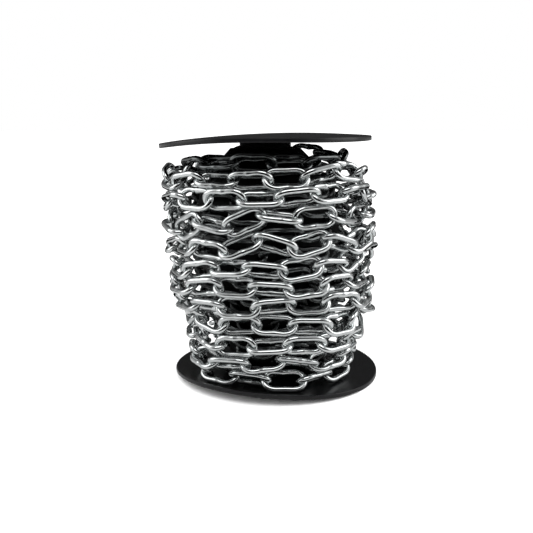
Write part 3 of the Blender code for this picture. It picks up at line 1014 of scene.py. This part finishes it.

# %% [markdown]
# ## The heart of the winding, dark with painted shade
# Behind the inner turns lie more of them, down to the barrel. Hardly any
# light gets there. More layers of links could be wound, but they would only
# add faces that nobody sees. So a near black body closes the view: its
# darkness is painted shade. One more layer of links, half sunk in it, with
# painted deep shade in their zinc, gives the glints that can be seen in the
# gaps. The body is spun like the barrel. Then each point of its outer face
# moves to the radius of the heart in its own direction.

# %% Make the heart
HEART_ROWS = 30
# Face of the heart at the front, and at the sides and the back: height and
# radius in mm.
HEART_FRONT = (
    (4.4, 38.0), (42.0, 41.5), (60.0, 50.0), (78.0, 55.0),
    (158.0, 55.0), (174.0, 44.0), (190.0, 39.0), (200.0, 35.0), (203.0, 30.0),
)
HEART_SIDES = (
    (4.4, 40.0), (42.0, 45.0), (60.0, 55.0), (78.0, 62.0),
    (158.0, 63.0), (176.0, 50.0), (190.0, 40.0), (200.0, 36.0), (203.0, 31.0),
)


def heart_face(height, x, y):
    """Radius of the heart, at a height and in a direction."""
    return blend_faces(HEART_FRONT, HEART_SIDES, height, x, y)


hub = BARREL_RADIUS + GAP
rough_face = 2.0 * hub
levels = np.linspace(CORE_FACE[0][0], CORE_FACE[-1][0], HEART_ROWS) * MM
section = [(rough_face, level) for level in levels]
heart = spin_section([(hub, levels[0])] + section + [(hub, levels[-1])])
for vert in heart.verts:
    x, y, height = vert.co
    radius = math.hypot(x, y)
    if radius > (hub + rough_face) / 2.0:
        reach = heart_face(height, x, y)
        vert.co.x *= reach / radius
        vert.co.y *= reach / radius
print("points of the heart:", len(heart.verts))
bend_and_lean(heart)
# The heart's near black steel is painted shade.
new_piece("heart_of_painted_shade", heart, painted_shade_steel, ["chain_core"])

# %% Make the deepest turns that show
DEEP_FOOT = 21.0
DEEP_COUNT = 10
DEEP_DEPTH = 1.0
DEEP_ROUNDS = 30
DEEP_TONES = 900
# Only glimpses of these wires show, so one level of subdivision is enough.
ROUGH_WIRE = 1

deep_rows = tuple(
    row_below(heart_face, turn, DEEP_FOOT, DEEP_DEPTH) for turn in range(DEEP_COUNT)
)
deep_links = settle(deep_rows, core_face, inner_limit, DEEP_ROUNDS)[0]
# The deepest links get the darkest zinc, with painted deep shade.
deep_mesh = lay_links(deep_links, DEEP_TONES)
new_piece(
    "deepest_turns", deep_mesh, painted_deep_shade_zinc, ["chain_core"], ROUGH_WIRE,
)
print("links on the heart:", len(deep_links))

# %% [markdown]
# ## Floor, light and camera
# The reel stands on a plain white floor in a light tent: a soft light above
# and in front, and a larger one at each side. Bright metal shows what is
# around it, so a wire looks like steel only if it has something dark to
# mirror. That is the work of the black cards in front and behind, which only
# reflections can see. The floor is greyer in reflections too, and the room
# is white behind the object, greyer low down and behind where wires mirror
# it, and lighter to the sides.

# %% Floor
FLOOR_SIZE = 30.0
# The floor lies this much below the reel, so that the two don't flicker.
FLOOR_DROP = 0.2 * MM
floor_finish, floor_tree, floor_shader = new_finish("white_paper_floor")
mirrored = add_node(floor_tree, "ShaderNodeLightPath").outputs["Is Glossy Ray"]
paper = blend_colours(floor_tree, mirrored, linear("#FAFAFA"), linear("#B6B6B6"))
floor_tree.links.new(paper, floor_shader.inputs["Base Color"])
floor_shader.inputs["Roughness"].default_value = 1.0
floor_shader.inputs["Specular IOR Level"].default_value = 0.0


def stage_sheet(name, width, depth, place, tilt, finish):
    """A flat sheet of the studio, which isn't part of the object."""
    bm = bmesh.new()
    size = Matrix.Diagonal((width, depth, 1, 1))
    spot = Matrix.Translation(place) @ Matrix.Rotation(tilt, 4, "X") @ size
    bmesh.ops.create_grid(bm, x_segments=1, y_segments=1, size=0.5, matrix=spot)
    mesh = bpy.data.meshes.new(name)
    bm.to_mesh(mesh)
    bm.free()
    mesh.materials.append(finish)
    sheet = bpy.data.objects.new(name, mesh)
    bpy.context.scene.collection.objects.link(sheet)
    return sheet


floor = stage_sheet(
    "floor", FLOOR_SIZE, FLOOR_SIZE, (0.0, 0.0, -FLOOR_DROP), 0.0, floor_finish,
)
print("floor, m:", [round(side, 1) for side in floor.dimensions])

# %% Black cards
# One card stands in front of the reel. One lies between it and the reel, and
# one behind. Sizes and places are in metres.
CARD_WIDTH = 1.7
CARD_FRONT = -0.85
CARD_NEAR = -0.40
CARD_HEIGHT = 0.42
CARD_LIFT = 0.002
BACK_CARD_DEPTH = 1.2
BACK_CARD_MIDDLE = 0.75
card_finish, _, card_shader = new_finish("black_card")
card_shader.inputs["Base Color"].default_value = linear("#050505")
card_shader.inputs["Roughness"].default_value = 1.0
card_shader.inputs["Specular IOR Level"].default_value = 0.0
lying_middle = (CARD_NEAR + CARD_FRONT) / 2.0
for name, depth, place, tilt in (
    ("standing_card", CARD_HEIGHT, (0.0, CARD_FRONT, CARD_HEIGHT / 2.0), math.radians(90.0)),
    ("lying_card", CARD_NEAR - CARD_FRONT, (0.0, lying_middle, CARD_LIFT), 0.0),
    ("card_behind", BACK_CARD_DEPTH, (0.0, BACK_CARD_MIDDLE, CARD_LIFT), 0.0),
):
    card = stage_sheet(name, CARD_WIDTH, depth, place, tilt, card_finish)
    card.visible_camera = False
    card.visible_diffuse = False
    card.visible_shadow = False
    card.visible_transmission = False

# %% Lights
MIDDLE_OF_REEL = (0.0, 0.0, 0.1)


def soft_light(name, place, width, height, power):
    """A rectangular soft light at a place, turned to the middle of the reel."""
    light = bpy.data.lights.new(name, "AREA")
    light.shape = "RECTANGLE"
    light.size = width
    light.size_y = height
    light.energy = power
    lamp = bpy.data.objects.new(name, light)
    lamp.location = place
    way = Vector(MIDDLE_OF_REEL) - Vector(place)
    lamp.rotation_euler = way.to_track_quat("-Z", "Y").to_euler()
    bpy.context.scene.collection.objects.link(lamp)
    print(name, "shines with", power, "W")


soft_light("light_above", (0.0, -0.72, 0.92), width=0.9, height=0.45, power=3.7)
soft_light("light_left", (-0.85, -0.05, 0.50), width=0.7, height=0.7, power=2.4)
soft_light("light_right", (0.85, -0.05, 0.50), width=0.7, height=0.7, power=3.0)

# %% Room
# The camera sees pure white. Dull faces are lit by a brighter room, and what
# the wires mirror depends on the direction: it climbs from dark at the floor
# to half bright overhead, is a third as bright at the far end, and is
# lighter to the sides.
WHITE = (1.0, 1.0, 1.0, 1.0)
SEEN_STRENGTH = 1.0
DULL_STRENGTH = 1.7
world = bpy.data.worlds.new("white_room")
bpy.context.scene.world = world
world.use_nodes = True
room = world.node_tree
room.nodes.clear()


def fade(value, start, end, first, last):
    """A value that goes from first to last while another goes from start to end."""
    return add_node(
        room, "ShaderNodeMapRange",
        Value=value, From_Min=start, From_Max=end, To_Min=first, To_Max=last,
    ).outputs[0]


def choose(share, otherwise, chosen):
    """One strength for some rays, and another for all the rest."""
    return add_node(
        room, "ShaderNodeMix", {"data_type": "FLOAT"}, _0=share, _2=otherwise, _3=chosen,
    ).outputs[0]


direction = add_node(room, "ShaderNodeTexCoord").outputs["Generated"]
direction = add_node(room, "ShaderNodeSeparateXYZ", Vector=direction).outputs
sideways = add_node(room, "ShaderNodeMath", {"operation": "ABSOLUTE"}, _0=direction["X"])
climb = fade(direction["Z"], 0.05, 0.8, 0.08, 0.5)
behind = fade(direction["Y"], 0.0, 0.7, 1.0, 0.35)
sides = fade(sideways.outputs[0], 0.4, 0.9, 0.0, 0.45)
around = add_node(
    room, "ShaderNodeMath", {"operation": "MULTIPLY_ADD"}, _0=climb, _1=behind, _2=sides,
)
rays = add_node(room, "ShaderNodeLightPath").outputs
strength = choose(rays["Is Diffuse Ray"], around.outputs[0], DULL_STRENGTH)
strength = choose(rays["Is Camera Ray"], strength, SEEN_STRENGTH)
glow = add_node(room, "ShaderNodeBackground", Color=WHITE, Strength=strength)
add_node(room, "ShaderNodeOutputWorld", Surface=glow.outputs[0])
print("nodes of the room:", len(room.nodes))

# %% Camera
CAMERA_PLACE = (-3.9 * MM, -629.0 * MM, 226.0 * MM)
CAMERA_DIP = 11.6
camera_data = bpy.data.cameras.new("camera")
camera_data.lens = 47.75
camera_data.sensor_width = 36.0
camera = bpy.data.objects.new("camera", camera_data)
camera.location = CAMERA_PLACE
camera.rotation_euler = (math.radians(90.0 - CAMERA_DIP), 0.0, 0.0)
bpy.context.scene.collection.objects.link(camera)
bpy.context.scene.camera = camera
bpy.context.scene.view_settings.view_transform = "Standard"
print("camera's angle of view:", round(math.degrees(camera_data.angle), 1), "degrees")

# %% [markdown]
# ## Close
# The box of the plain solids is printed. The finished one may not be
# larger.

# %% Print the box of the plain solids
def plain(box):
    """A box as plain lists of metres."""
    return [[round(float(value), 6) for value in corner] for corner in box]


print("solids:", plain(solid_box))
